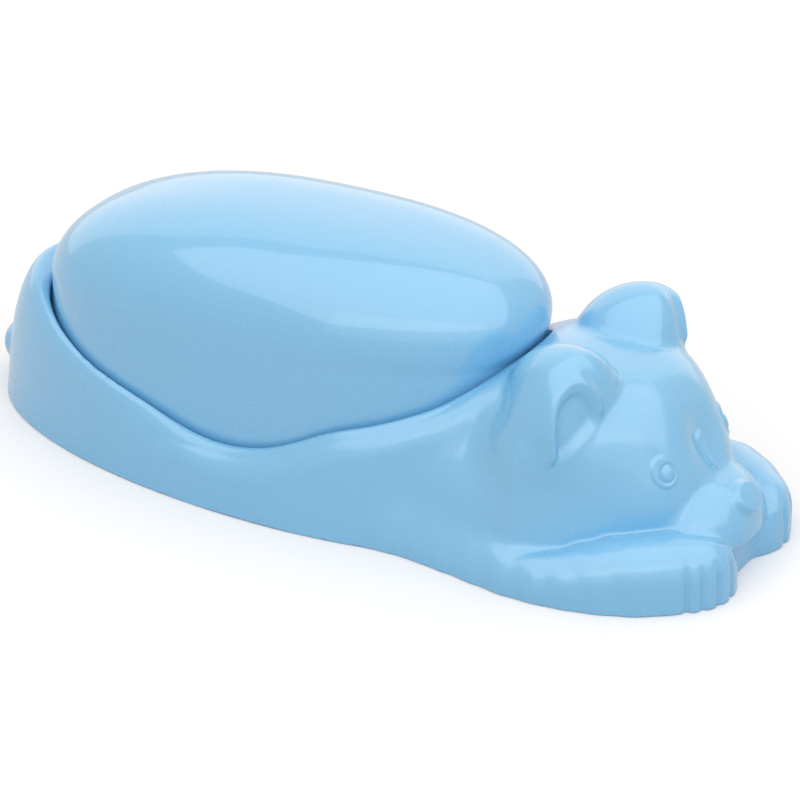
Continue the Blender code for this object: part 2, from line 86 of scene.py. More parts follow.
def slopeOf(field, points):
    # the field's slope by differences along x, y and z
    step = meshing["difference"]
    slope = np.empty_like(points)
    for axis in range(3):
        shift = np.zeros(3)
        shift[axis] = step
        slope[:, axis] = (field(*(points + shift).T) - field(*(points - shift).T)) / (2 * step)
    return slope


def normalsOf(field, points):
    # the slope, made one unit long
    normals = slopeOf(field, points)
    return normals / (np.linalg.norm(normals, axis=1, keepdims=True) + tiny)


def ontoSurface(field, points, rounds):
    # each point moves along the slope to where the field is zero
    for _ in range(rounds):
        slope = slopeOf(field, points)
        steep = (slope**2).sum(1) + 1e-6  # kept off zero where the field is flat
        move = field(*points.T)[:, None] * slope / steep[:, None]
        far = np.linalg.norm(move, axis=1, keepdims=True)
        points = points - move * np.minimum(1, meshing["reach"] / (far + tiny))
    return points


def netSurface(field, low, high, step):
    # surface nets: one point in each cell that the surface crosses, at the mean of its
    # edge crossings, and one quad round each grid edge that the surface crosses
    axes = [np.arange(a, b + step, step) for a, b in zip(low, high)]
    values = field(*np.meshgrid(*axes, indexing="ij"))
    cells = np.array(values.shape) - 1
    total, count = np.zeros((*cells, 3)), np.zeros(cells)
    crossed = []
    for axis in range(3):
        others = [other for other in range(3) if other != axis]
        first = np.moveaxis(values, axis, 0)[:-1]
        last = np.moveaxis(values, axis, 0)[1:]
        cut = (first < 0) != (last < 0)
        share = np.where(cut, first / np.where(cut, first - last, 1), 0)
        crossed.append((cut, first < 0, others))
        for a in (0, 1):
            for b in (0, 1):
                part = (slice(None), slice(a, cut.shape[1] - 1 + a), slice(b, cut.shape[2] - 1 + b))
                hit = np.moveaxis(cut[part], 0, axis)
                spot = np.zeros((*cells, 3))
                spot[..., axis] = np.moveaxis(share[part], 0, axis)
                spot[..., others[0]], spot[..., others[1]] = a, b
                total += spot * hit[..., None]
                count += hit
    used = count > 0
    number = np.full(cells, -1)
    number[used] = np.arange(used.sum())
    points = np.argwhere(used) + total[used] / count[used][:, None]
    points = points * step + np.array(low)
    quads = []
    for axis, (cut, inside, others) in enumerate(crossed):
        inner = (slice(None), slice(1, -1), slice(1, -1))
        spots = np.argwhere(cut[inner]) + (0, 1, 1)
        flip = inside[inner][cut[inner]]
        corner = np.zeros_like(spots)
        corner[:, axis], corner[:, others[0]], corner[:, others[1]] = spots.T
        ring = []
        for a, b in ((0, 0), (1, 0), (1, 1), (0, 1)):
            cell = corner.copy()
            cell[:, others[0]] -= a
            cell[:, others[1]] -= b
            ring.append(number[tuple(cell.T)])
        ring = np.stack(ring, 1)
        turn = flip if axis != 1 else ~flip
        ring[~turn] = ring[~turn][:, ::-1]
        quads.append(ring)
    quads = np.concatenate(quads)
    return points, np.concatenate([quads[:, [0, 1, 2]], quads[:, [0, 2, 3]]])


def splitEdges(points, faces, mark):
    # cuts every marked edge in half: a face becomes two, three or four
    edges = np.sort(np.concatenate([faces[:, [0, 1]], faces[:, [1, 2]], faces[:, [2, 0]]]), 1)
    edges, where = np.unique(edges, axis=0, return_inverse=True)
    cut = mark(points[edges[:, 0]], points[edges[:, 1]], edges)
    middle = np.full(len(edges), -1)
    middle[cut] = len(points) + np.arange(cut.sum())
    added = (points[edges[cut, 0]] + points[edges[cut, 1]]) / 2
    a, b, c = faces.T
    ab, bc, ca = middle[where.reshape(3, -1)]
    kind = (ab >= 0) * 1 + (bc >= 0) * 2 + (ca >= 0) * 4
    new = [faces[kind == 0]]

    def add(which, *triples):
        pick = kind == which
        for triple in triples:
            new.append(np.stack([corner[pick] for corner in triple], 1))
    add(1, (a, ab, c), (ab, b, c))
    add(2, (b, bc, a), (bc, c, a))
    add(4, (c, ca, b), (ca, a, b))
    add(3, (ab, b, bc), (a, ab, bc), (a, bc, c))
    add(6, (bc, c, ca), (b, bc, ca), (b, ca, a))
    add(5, (ca, a, ab), (c, ca, ab), (c, ab, b))
    add(7, (a, ab, ca), (ab, b, bc), (ca, bc, c), (ab, bc, ca))
    return points, added, np.concatenate(new)


def evenOut(field, points, faces, rounds, amount):
    # each point slides towards the mean of its neighbours, then back onto the surface
    pairs = np.concatenate([faces[:, [0, 1]], faces[:, [1, 2]], faces[:, [2, 0]]])
    pairs = np.concatenate([pairs, pairs[:, ::-1]])
    number = np.bincount(pairs[:, 0], minlength=len(points))[:, None]
    for _ in range(rounds):
        sums = [np.bincount(pairs[:, 0], points[pairs[:, 1], axis], len(points)) for axis in range(3)]
        points = ontoSurface(field, points + amount * (np.stack(sums, 1) / number - points), 1)
    return points


def makePiece(name, points, faces, normals=None):
    mesh = bpy.data.meshes.new(name)
    mesh.from_pydata((points * mm).tolist(), [], faces)
    mesh.polygons.foreach_set("use_smooth", np.ones(len(mesh.polygons), bool))
    if normals is not None:
        mesh.normals_split_custom_set_from_vertices(normals.tolist())
    mesh.update()
    piece = bpy.data.objects.new(name, mesh)
    scene.collection.objects.link(piece)
    print(name, len(points), "points", len(mesh.polygons), "faces")
    return piece


def fieldPiece(name, field, low, high, step, fineness, rounds):
    # meshes a field, then splits edges where the surface turns or where fineness asks for it
    points, faces = netSurface(field, low, high, step)
    points = ontoSurface(field, points, meshing["settle"])
    points = evenOut(field, points, faces, meshing["even"], meshing["slide"])
    for _ in range(rounds):
        normals = normalsOf(field, points)

        def mark(first, last, edges):
            length = np.linalg.norm(last - first, axis=1)
            turn = (normals[edges[:, 0]] * normals[edges[:, 1]]).sum(1)
            most, least = fineness((first + last) / 2)
            return (length > most) | ((turn < meshing["bend"]) & (length > least))
        points, added, faces = splitEdges(points, faces, mark)
        points = np.concatenate([points, ontoSurface(field, added, meshing["settleNew"])])
    points = evenOut(field, points, faces, meshing["even"], meshing["slideLast"])
    points = ontoSurface(field, points, meshing["settleLast"])
    return makePiece(name, points, faces.tolist(), normalsOf(field, points))


# The base's form

rim = {
    "places": (-85.4, -75.6, -59.5, -41, -28.6, -20, -11.3, -3.9, 2.3, 8, 19.5, 33, 44.6),
    "heights": (36.3, 30.0, 24.7, 20.3, 16.1, 14.6, 15.6, 17.9, 21.2, 24.4, 27.9, 33.4, 42.3),
    "easing": 3.6,     # how far the wave of the rim is smoothed
    "span": (-110, 70), "step": 0.25, "blur": 60,   # the smoothed table's ends, step and steps each way
    "ledge": 5.0,      # depth of the ledge that the lid stands on
    # the rim's upper edge is rounded by its distance from the lid, more behind it than beside it
    "roundShare": 1.9, "roundX": (-60, -30), "roundMost": (24, 7), "roundLeast": 4.5,
}
body = {
    "middle": -10, "rear": 87, "front": 76, "half": 37.3, "lean": 0.10,
    "neckAt": (48, 0, 10), "neckRadii": (34, 32.2, 28), "neckBlend": 6,
    "tailAt": (-95.5, 0, 8.4), "tailRadii": (4.4, 5.4, 5.4), "tailJoin": 2,
    "chestMiddle": 78, "chestReach": 18.2, "chestTop": 8.5, "chestHalf": 16,
    "chestLean": 0.13, "chestCorner": 3, "chestEdge": 2, "chestJoin": 1.5,
}
head = {
    "skullAt": (61.4, 0, 24.4), "rear": 24.0, "front": 23.8, "half": 30.0, "tall": 20.5, "power": 2.4,
    "taper": 0.32, "taperFrom": -0.25, "taperTo": 1.3,   # the skull's narrowing, and its ends in reaches
    "cheekAt": (71.5, 0, 18.2), "cheekRadii": (18.2, 21.1, 14.5), "cheekBlend": 8,
    "muzzleAt": (86.9, 0, 9.2), "muzzleRadii": (11.8, 16.0, 13.4), "muzzleBlend": 2.0,
    "chinDrop": 3.0,   # the muzzle curves in below its middle, down to the chin
    "join": 4,
    # the face is dished between the eyes
    "dipAt": (85, 28), "dipSize": (6.5, 7.5), "dipDepth": 2.4, "dipFade": (70, 80),
}
eye = {
    "at": (83.0, 14.6, 27.0), "out": (0.75, 0.56, 0.34), "radii": (3.1, 3.8), "slant": 0.15, "raise": 0.45,
    "edge": (0.82, 1.08), "pupil": (0.84, -0.42), "pupilRadii": (1.7, 1.9), "pupilRaise": 0.35,
    "groove": 0.35, "grooveAt": 1.05, "grooveWidth": 0.2,
    "within": 1.3, "deep": 4,   # the relief ends here, in radii of the eye and in mm along its axis
}
nose = {
    "at": (95.7, 17.2), "out": (0.82, 0.57), "half": 4.8, "flare": 0.28, "tall": 4.2, "raise": 1.5,
    "edge": (0.74, 1.05), "sides": (-2.4, -0.8),   # it fades where the muzzle turns away
    "flareTo": 8, "deep": 5,   # mm: where its widening stops, and how far out it may lie
}
bridge = {
    "top": (83.2, 28.0), "point": (89.0, 21.65), "half": 1.9, "raise": 0.9, "deep": 4,
    "narrowing": 0.8, "least": 0.05,   # power of its taper, and the least share of its width
    "edge": (0.45, 1.15), "pointFade": (0.8, 1.02),
}
ear = {
    "at": (62.2, 16.8, 36.5), "rear": 17.0, "front": 8.6, "side": 12.5, "tall": 16.5,
    "turn": 0.33, "tilt": 0.26, "join": 1.6,
    "lobeAt": (58.5, 24.0, 34.0), "lobeRadii": (8.5, 6.5, 9.5), "lobeJoin": 4,
}
arm = {
    "x": (30, 42, 56, 68, 79, 87.1), "y": (20.5, 23.4, 24.0, 22.8, 20.2, 13.9),
    "radii": (10.9, 11.4, 13.5, 13.9, 12.9, 12.8), "heights": (6.2, 7.6, 9.8, 11.6, 14.7, 14.6),
    "round": 9.0, "link": 0.6,   # fillets: at the top, and where two stretches meet
    "creaseX": (34, 66), "creaseEdge": (0.1, 5.0), "creaseJoin": (8.0, 1.2),
    # degrees round the middle of the paw, then mm
    "toes": (-1, 20, 39, 56), "toeWidth": 0.8, "toeDepth": 0.7, "toeFade": (5.5, 13.0), "toeReach": (6, 2),
}
hood = {
    # the ear's front, in the ear's own side and height: an arch round a pocket, both leaning inwards
    "middle": 5.8, "base": 2.8, "slant": 0.22,
    "pocket": (5.0, 9.2), "pocketEdge": (0.72, 1.04), "deep": 1.4,
    "band": 0.9, "bandAt": 1.22, "bandWidth": 0.16, "valley": 0.3, "valleyAt": 1.62, "valleyWidth": 0.24,
    "frontFrom": (-2.5, 3.5), "within": 3,   # mm from the ear's own surface
    "foot": 5.4, "footSlant": 0.5, "footFade": (-2.6, 0.6),   # the head's edge crosses the pocket here
}
well = {
    "middle": -18.7, "long": 61.65, "wide": 30.4, "power": 2.45,
    "gapX": (-60, 20), "gaps": (0.7, 1.2), "below": 1.8, "floor": 4.2, "edge": 0.8,
    "ledgeEdge": 0.4, "floorEdge": 1.5, "stepJoin": 0.3,
}
hollow = {
    # the space under the shell: a wall's thickness inside the skin, more at the head and the ears
    "wall": 2.3, "headWall": 1.6, "headFrom": (14, 26), "earSkin": 7.0, "fill": 6.0, "edge": 0.4,
}
baseMesh = {
    "low": (-102, -40, -2), "high": (102, 40, 56), "step": 1.3, "rounds": 2,
    # longest edges: plain skin, eyes, nose, ears
    "most": 3.0, "mostEye": 0.55, "mostNose": 0.8, "mostEar": 1.0,
    # shortest edges that a bend may cut: plain skin, eyes, underneath
    "least": 0.45, "leastEye": 0.25, "leastUnder": 1.1,
    # where these places are: round the eye, before and above the nose's foot, in the ear's own axes, inside
    "eyeReach": 5.5, "noseX": 81, "noseSide": 6, "noseLow": 12,
    "earMiddle": (6, 5), "earReach": (9, 13), "underFrom": -1,
}


def easedRim():
    # a smooth curve through the short table: straight runs blurred by a bell curve
    fine = np.arange(*rim["span"], rim["step"])
    spread = np.arange(-rim["blur"], rim["blur"] + 1) * rim["step"]
    bell = np.exp(-0.5 * (spread / rim["easing"])**2)
    padded = np.pad(np.interp(fine, rim["places"], rim["heights"]), rim["blur"], mode="edge")
    return fine, np.convolve(padded, bell / bell.sum(), mode="valid")


rimCurve = easedRim()


def rimHeight(x):
    return np.interp(x, *rimCurve)


def columnField(x, y):
    # distance from the lid's outline, seen from above
    u, v = np.abs(x - well["middle"]) / well["long"], np.abs(y) / well["wide"]
    power = well["power"]
    size = (u**power + v**power) ** (1 / power) + tiny
    steep = (u**(power - 1) / well["long"])**2 + (v**(power - 1) / well["wide"])**2
    return (size - 1) / (np.sqrt(steep) * size**(1 - power) + tiny)


def tubField(x, y, z):
    # plan oval of two half-lengths whose wall leans in, cut by the wavy top of the rim
    reach = np.where(x < body["middle"], body["rear"], body["front"])
    u, v = np.abs(x - body["middle"]) / reach, y / body["half"]
    size = np.sqrt(u**2 + v**2) + tiny
    wall = (size - 1) * size / np.sqrt((u / reach)**2 + (v / body["half"])**2 + 1e-12) + body["lean"] * z
    slant = (rimHeight(x + 1) - rimHeight(x - 1)) / 2
    most = np.interp(x, rim["roundX"], rim["roundMost"])
    rounding = np.clip(rim["roundShare"] * columnField(x, y), rim["roundLeast"], most)
    return smoothMax(wall, (z - rimHeight(x)) / np.sqrt(1 + slant**2), rounding)


def skullField(x, y, z):
    # an oval with its own rear and front reach, narrower towards the front
    ahead = x - head["skullAt"][0]
    narrow = head["taper"] * np.clip(ahead / head["front"], head["taperFrom"], head["taperTo"])
    reach = np.where(ahead < 0, head["rear"], head["front"])
    radii = (reach, head["half"] * (1 - narrow), head["tall"])
    return ovalField(ahead, y, np.maximum(z - head["skullAt"][2], 0), radii, head["power"])


def earPlace(x, y, z):
    # place in the ear's own axes: it leans out and is turned a little
    x, y, z = x - ear["at"][0], y - ear["at"][1], z - ear["at"][2]
    cosine, sine = math.cos(ear["tilt"]), math.sin(ear["tilt"])
    y, z = cosine * y - sine * z, sine * y + cosine * z
    cosine, sine = math.cos(ear["turn"]), math.sin(ear["turn"])
    return cosine * x + sine * y, cosine * y - sine * x, z


def earField(x, y, z):
    u, v, w = earPlace(x, y, z)
    return ovalField(u, v, w, (np.where(u < 0, ear["rear"], ear["front"]), ear["side"], ear["tall"]))


def armStations():
    # the arm's places, with one more between each two on a smooth curve: (9 (b + c) - a - d) / 16
    rows = np.stack([arm[name] for name in ("x", "y", "radii", "heights")], 1)
    long = np.concatenate([2 * rows[:1] - rows[1:2], rows, 2 * rows[-1:] - rows[-2:-1]])
    between = (9 * (long[1:-2] + long[2:-1]) - long[:-3] - long[3:]) / 16
    return np.insert(rows, np.arange(1, len(rows)), between, axis=0)


def armField(x, y, z):
    # a bent row of round-topped walls: distance to the path less its radius, capped at its height
    found = None
    stations = armStations()
    for (ax, ay, ar, ah), (bx, by, br, bh) in zip(stations[:-1], stations[1:]):
        dx, dy = bx - ax, by - ay
        s = np.clip(((x - ax) * dx + (y - ay) * dy) / (dx * dx + dy * dy), 0, 1)
        side = np.hypot(x - ax - s * dx, y - ay - s * dy) - ar - (br - ar) * s
        part = smoothMax(side, z - ah - (bh - ah) * s, arm["round"])
        found = part if found is None else smoothMin(found, part, arm["link"])
    return found


def chestField(x, y, z):
    # a low block between the paws, whose front and rear lean in
    ends = np.abs(x - body["chestMiddle"]) - body["chestReach"] + body["chestLean"] * z
    block = smoothMax(ends, y - body["chestHalf"], body["chestCorner"])
    return smoothMax(block, z - body["chestTop"], body["chestEdge"])


def faceField(x, y, z):
    # skull, cheeks and muzzle, with a shallow dish between the eyes
    cheeks = standing(x, y, z, head["cheekAt"], head["cheekRadii"])
    face = smoothMin(skullField(x, y, z), cheeks, head["cheekBlend"])
    ahead, above = x - head["muzzleAt"][0], z - head["muzzleAt"][2]
    long, wide, tall = head["muzzleRadii"]
    muzzle = ovalField(ahead, y, above, (long, wide, np.where(above < 0, head["chinDrop"], tall)))
    face = smoothMin(face, muzzle, head["muzzleBlend"])
    along = (z - head["dipAt"][1] - x + head["dipAt"][0]) / math.sqrt(2)
    bell = np.exp(-(y / head["dipSize"][0])**2 - (along / head["dipSize"][1])**2)
    return face + head["dipDepth"] * bell * smoothStep(x, *head["dipFade"])


def trunkField(x, y, z):
    # body, neck, head, arms and chest, for y on one side
    shape = tubField(x, y, z)
    shape = smoothMin(shape, standing(x, y, z, body["neckAt"], body["neckRadii"]), body["neckBlend"])
    shape = smoothMin(shape, faceField(x, y, z), head["join"])
    limb = armField(x, y, z) + smoothMax(0, -shape, np.interp(x, arm["creaseX"], arm["creaseEdge"]))
    shape = smoothMin(shape, limb, np.interp(x, arm["creaseX"], arm["creaseJoin"]))
    return smoothMin(shape, chestField(x, y, z), body["chestJoin"])


def eyeRelief(x, y, z):
    # a raised oval with a groove round a small dome; forward, up and out are the eye's own axes
    out = np.array(eye["out"]) / np.linalg.norm(eye["out"])
    forward = np.array([out[1], -out[0], 0]) / math.hypot(out[0], out[1])
    up = np.cross(forward, out)
    step = np.stack([x - eye["at"][0], y - eye["at"][1], z - eye["at"][2]], -1)
    u, v, w = step @ forward, step @ up, step @ out
    disc = np.hypot((u + eye["slant"] * v) / eye["radii"][0], v / eye["radii"][1])
    u, v = u - eye["pupil"][0], v - eye["pupil"][1]
    dot = np.hypot(u / eye["pupilRadii"][0], v / eye["pupilRadii"][1])
    height = eye["raise"] * (1 - smoothStep(disc, *eye["edge"]))
    height -= eye["groove"] * np.exp(-((dot - eye["grooveAt"]) / eye["grooveWidth"])**2)
    height += eye["pupilRaise"] * np.maximum(1 - dot**2, 0)
    return height * (disc < eye["within"]) * (np.abs(w) < eye["deep"])


def noseRelief(x, y, z):
    # a raised button, wider towards its upper side
    ox, oz = nose["out"]
    v = ox * (z - nose["at"][1]) - oz * (x - nose["at"][0])
    w = ox * (x - nose["at"][0]) + oz * (z - nose["at"][1])
    half = nose["half"] + nose["flare"] * np.clip(v, -nose["flareTo"], nose["flareTo"])
    reach = np.hypot(y / half, v / nose["tall"])
    button = 1 - smoothStep(reach, *nose["edge"])
    return nose["raise"] * button * smoothStep(w, *nose["sides"]) * (w < nose["deep"])


def bridgeRelief(x, y, z):
    # a raised drop, round at its upper end, that comes to a point above the nose
    dx, dz = np.subtract(bridge["point"], bridge["top"])
    long = math.hypot(dx, dz)
    s = ((x - bridge["top"][0]) * dx + (z - bridge["top"][1]) * dz) / long**2
    w = ((x - bridge["top"][0]) * -dz + (z - bridge["top"][1]) * dx) / long
    taper = bridge["half"] * np.clip(1 - s, bridge["least"], 1)**bridge["narrowing"]
    reach = np.hypot(np.minimum(s, 0) * long / bridge["half"], y / taper)
    drop = (1 - smoothStep(reach, *bridge["edge"])) * (1 - smoothStep(s, *bridge["pointFade"]))
    return bridge["raise"] * drop * (np.abs(w) < bridge["deep"])


def earRelief(x, y, z):
    # reach is 1 on the edge of the pocket, less inside it; the band round it stands out
    u, v, w = earPlace(x, y, z)
    t = w - hood["base"]
    s = v - hood["middle"] + hood["slant"] * t
    reach = np.hypot(s / hood["pocket"][0], np.maximum(t, 0) / hood["pocket"][1])
    height = -hood["deep"] * (1 - smoothStep(reach, *hood["pocketEdge"]))
    height += hood["band"] * np.exp(-((reach - hood["bandAt"]) / hood["bandWidth"])**2)
    height -= hood["valley"] * np.exp(-((reach - hood["valleyAt"]) / hood["valleyWidth"])**2)
    above = w - hood["foot"] + hood["footSlant"] * v
    return height * smoothStep(u, *hood["frontFrom"]) * smoothStep(above, *hood["footFade"])


def toeRelief(x, y, z):
    # upright grooves round the paw's front that fade towards its top
    px, py, radius = arm["x"][-1], arm["y"][-1], arm["radii"][-1]
    angle = np.arctan2(y - py, x - px)
    height = 0
    for toe in arm["toes"]:
        height = height - np.exp(-((angle - math.radians(toe)) * radius / arm["toeWidth"])**2)
    near = smoothStep(np.hypot(x - px, y - py), radius - arm["toeReach"][0], radius - arm["toeReach"][1])
    return arm["toeDepth"] * height * near * (1 - smoothStep(z, *arm["toeFade"]))


def outerField(x, y, z, trunk, ears):
    # the whole outer skin, for y on one side: its forms, less the relief on face, ears and paws
    shape = smoothMin(trunk, ears, ear["join"])
    shape = smoothMin(shape, oval(x, y, z, ear["lobeAt"], ear["lobeRadii"]), ear["lobeJoin"])
    shape = smoothMin(shape, oval(x, y, z, body["tailAt"], body["tailRadii"]), body["tailJoin"])
    relief = eyeRelief(x, y, z) + noseRelief(x, y, z) + bridgeRelief(x, y, z)
    return shape - relief - earRelief(x, y, z) * (ears < hood["within"]) - toeRelief(x, y, z)


def wellField(x, y, z):
    # the room for the lid's skirt above the ledge, and the narrower well below it
    column = columnField(x, y)
    ledge = rimHeight(x) - rim["ledge"]
    gap = np.interp(x, well["gapX"], well["gaps"])
    upper = smoothMax(column - gap, ledge - z, well["ledgeEdge"])
    lower = smoothMax(column + well["below"], well["floor"] - z, well["floorEdge"])
    return smoothMin(upper, lower, well["stepJoin"])


def baseField(x, y, z):
    # the outer skin less the well, and less the hollow underneath
    side = np.abs(y)
    trunk, ears = trunkField(x, side, z), earField(x, side, z)
    hole = wellField(x, y, z)
    shape = smoothMax(outerField(x, side, z, trunk, ears), -hole, well["edge"])
    wall = hollow["wall"] + hollow["headWall"] * smoothStep(z, *hollow["headFrom"])
    skin = smoothMin(trunk + wall, ears + hollow["earSkin"], ear["join"])
    inside = smoothMax(skin, hollow["wall"] - hole, hollow["fill"])  # blunt where it is narrow
    shape = smoothMax(shape, -inside, hollow["edge"])
    return smoothMax(shape, -z, hollow["edge"])


def baseFineness(middle):
    # longest edge allowed, and the shortest that a bend may cut: fine on the face, coarse underneath
    x, y, z = middle.T
    side = np.abs(y)
    eyes = np.linalg.norm(np.stack([x, side, z], 1) - eye["at"], axis=1) < baseMesh["eyeReach"]
    noseArea = (x > baseMesh["noseX"]) & (side < baseMesh["noseSide"]) & (z > baseMesh["noseLow"])
    u, v, w = earPlace(x, side, z)
    across, above = np.abs(v - baseMesh["earMiddle"][0]), np.abs(w - baseMesh["earMiddle"][1])
    ears = (u > 0) & (across < baseMesh["earReach"][0]) & (above < baseMesh["earReach"][1])
    outer = outerField(x, side, z, trunkField(x, side, z), earField(x, side, z))
    under = outer < baseMesh["underFrom"]
    most = np.where(ears, baseMesh["mostEar"], baseMesh["most"])
    most = np.where(noseArea, baseMesh["mostNose"], most)
    most = np.where(eyes, baseMesh["mostEye"], most)
    least = np.where(under, baseMesh["leastUnder"], baseMesh["least"])
    return np.where(under, baseMesh["most"], most), np.where(eyes, baseMesh["leastEye"], least)


def makeBase():
    low, high, step, rounds = [baseMesh[name] for name in ("low", "high", "step", "rounds")]
    piece = fieldPiece("bear_base", baseField, low, high, step, baseFineness, rounds)
    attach(piece, "base")
    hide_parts("base_shell")
    return piece


# The lid

lid = {
    "middle": -18.7, "long": 61.66, "wide": 30.4, "power": 2.45,
    "spring": 39.0, "rise": 24.1, "lean": 0.018, "forward": 7.6,
    "skirt": 4.7, "wall": 2.0, "around": 360, "wallRows": 18, "domeRows": 70, "trace": 4001,
    "edge": 0.45, "edgeIn": 0.13, "edgeUp": 0.3,   # the skirt's rounded foot, and shares of it halfway
}


def lidSheet(thin, rows, around):
    # place for (row, angle): the outline is an even superellipse, and the dome rises as
    # rho = cos^(2/p), height = sin^(2/p); rows below zero run down the straight skirt
    power = lid["power"]
    turn = np.linspace(0, 2 * np.pi, lid["trace"])
    sx = np.sign(np.cos(turn)) * np.abs(np.cos(turn)) ** (2 / power)
    sy = np.sign(np.sin(turn)) * np.abs(np.sin(turn)) ** (2 / power)
    run = np.concatenate([[0], np.cumsum(np.hypot(np.diff(sx) * lid["long"], np.diff(sy) * lid["wide"]))])
    even = np.linspace(0, run[-1], around + 1)[:-1]
    sx, sy = np.interp(even, run, sx), np.interp(even, run, sy)
    angle = np.clip(rows, 0, 1)[:, None] * np.pi / 2
    rho, up = np.cos(angle) ** (2 / power), np.sin(angle) ** (2 / power)
    x = lid["middle"] + (lid["long"] - thin) * rho * sx + lid["forward"] * up
    y = (lid["wide"] - thin) * rho * sy
    top = lid["spring"] + lid["lean"] * (x - lid["middle"]) + (lid["rise"] - thin) * up
    foot = rimHeight(lid["middle"] + lid["long"] * sx) - lid["skirt"]
    down = np.clip(-rows, 0, 1)[:, None]
    return np.stack([x, y, top + (foot - top) * down], 2)


def makeLid():
    # the inner sheet, the rounded foot and the outer sheet in one grid, closed by a fan at each top
    wall = np.linspace(-1, 0, lid["wallRows"] + 1)[:-1]
    dome = np.linspace(0, 1, lid["domeRows"] + 1)
    rows = np.concatenate([wall, dome])
    outer, inner = lidSheet(0, rows, lid["around"]), lidSheet(lid["wall"], rows, lid["around"])
    outward = outer[0] - inner[0]
    outward *= lid["edge"] / np.linalg.norm(outward, axis=1, keepdims=True)
    up = np.array([0, 0, lid["edge"]])
    aside, above = lid["edgeIn"] * outward, lid["edgeUp"] * up
    foot = [inner[0] + aside + above, inner[0] + outward, outer[0] - outward, outer[0] - aside + above]
    inner[0] += up
    outer[0] += up
    sheets = np.concatenate([inner[:-1][::-1], np.stack(foot), outer[:-1]])
    count, around = sheets.shape[:2]
    points = np.concatenate([sheets.reshape(-1, 3), inner[-1][:1], outer[-1][:1]])
    row, column = np.meshgrid(np.arange(count - 1), np.arange(around), indexing="ij")
    after = (column + 1) % around
    a, b = row * around + column, row * around + after
    faces = np.stack([a, b, b + around, a + around], -1).reshape(-1, 4)
    step = np.arange(around)
    after = (step + 1) % around
    last = (count - 1) * around
    caps = [np.stack([after, step, np.full(around, count * around)], 1),
            np.stack([last + step, last + after, np.full(around, count * around + 1)], 1)]
    piece = makePiece("dome_lid", points, faces.tolist() + np.concatenate(caps).tolist())
    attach(piece, "lid")
    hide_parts("lid")
    return piece


# The soap rest

rest = {
    "middle": -18.7, "long": 58.85, "wide": 27.6, "power": 2.45, "under": 6.8, "over": 8.8, "edge": 0.6,
    "slot": 3.2, "slotLeast": 0.5, "eachWay": 6, "pitch": 7.8, "spine": 6.0, "border": 6.0,
    "feet": ((-46, 0), (46, 0), (-27.3, 20.5), (27.3, 20.5)),   # from the middle, and again across it
    "footRadius": 2.5, "foot": 4.5, "footTop": 7.8, "footEnd": 0.4, "footEdge": 0.5, "footJoin": 0.5,
    # the net that is laid round it, then its longest edge and the shortest that a bend may cut
    "net": (62, 31), "netLow": 3, "netHigh": 10.5, "step": 0.9, "rounds": 1, "most": 2.0, "least": 0.55,
}


def restField(x, y, z):
    # a flat plate with two rows of round-ended slots and six small feet
    u, v = np.abs(x - rest["middle"]) / rest["long"], np.abs(y) / rest["wide"]
    power = rest["power"]
    size = (u**power + v**power) ** (1 / power) + tiny
    plan = (size - 1) * np.hypot(x - rest["middle"], y) / size
    slab = np.abs(z - (rest["under"] + rest["over"]) / 2) - (rest["over"] - rest["under"]) / 2
    plate = smoothMax(plan, slab, rest["edge"])
    along = (x - rest["middle"]) / rest["pitch"]
    nearest = np.clip(np.round(along), -rest["eachWay"], rest["eachWay"])
    across = (along - nearest) * rest["pitch"]
    end = (1 - np.abs(nearest * rest["pitch"] / rest["long"])**power) ** (1 / power) * rest["wide"]
    low = rest["spine"] / 2 + rest["slot"] / 2
    high = np.maximum(end - rest["border"] - rest["slot"] / 2, low + rest["slotLeast"])
    beyond = np.abs(y) - np.clip(np.abs(y), low, high)
    slots = np.hypot(across, beyond) - rest["slot"] / 2
    plate = smoothMax(plate, -slots, rest["edge"])
    places = [np.hypot(x - rest["middle"] - fx, np.abs(y) - fy) for fx, fy in rest["feet"]]
    column = np.minimum.reduce(places) - rest["footRadius"]
    ends = smoothMax(rest["foot"] - z, z - rest["footTop"], rest["footEnd"])
    return smoothMin(plate, smoothMax(column, ends, rest["footEdge"]), rest["footJoin"])


def restFineness(middle):
    return np.full(len(middle), rest["most"]), np.full(len(middle), rest["least"])


def makeRest():
    long, wide = rest["net"]
    low = (rest["middle"] - long, -wide, rest["netLow"])
    high = (rest["middle"] + long, wide, rest["netHigh"])
    piece = fieldPiece("soap_rest", restField, low, high, rest["step"], restFineness, rest["rounds"])
    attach(piece, "soap_rest")
    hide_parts("drain_grid")
    return piece


# Materials

def linearColor(hexText):
    # sRGB hex to linear
    values = [int(hexText[i:i + 2], 16) / 255 for i in (0, 2, 4)]
    return [v / 12.92 if v <= 0.04045 else ((v + 0.055) / 1.055) ** 2.4 for v in values] + [1]


def addNode(tree, kind, settings=None, links=None):
    # one node: settings are its attributes or socket values, links its inputs by name or number
    node = tree.nodes.new(kind)
    for name, value in (settings or {}).items():
        if isinstance(name, int) or name in node.inputs:
            node.inputs[name].default_value = value
        else:
            setattr(node, name, value)
    for name, socket in (links or {}).items():
        tree.links.new(socket, node.inputs[name])
    return node


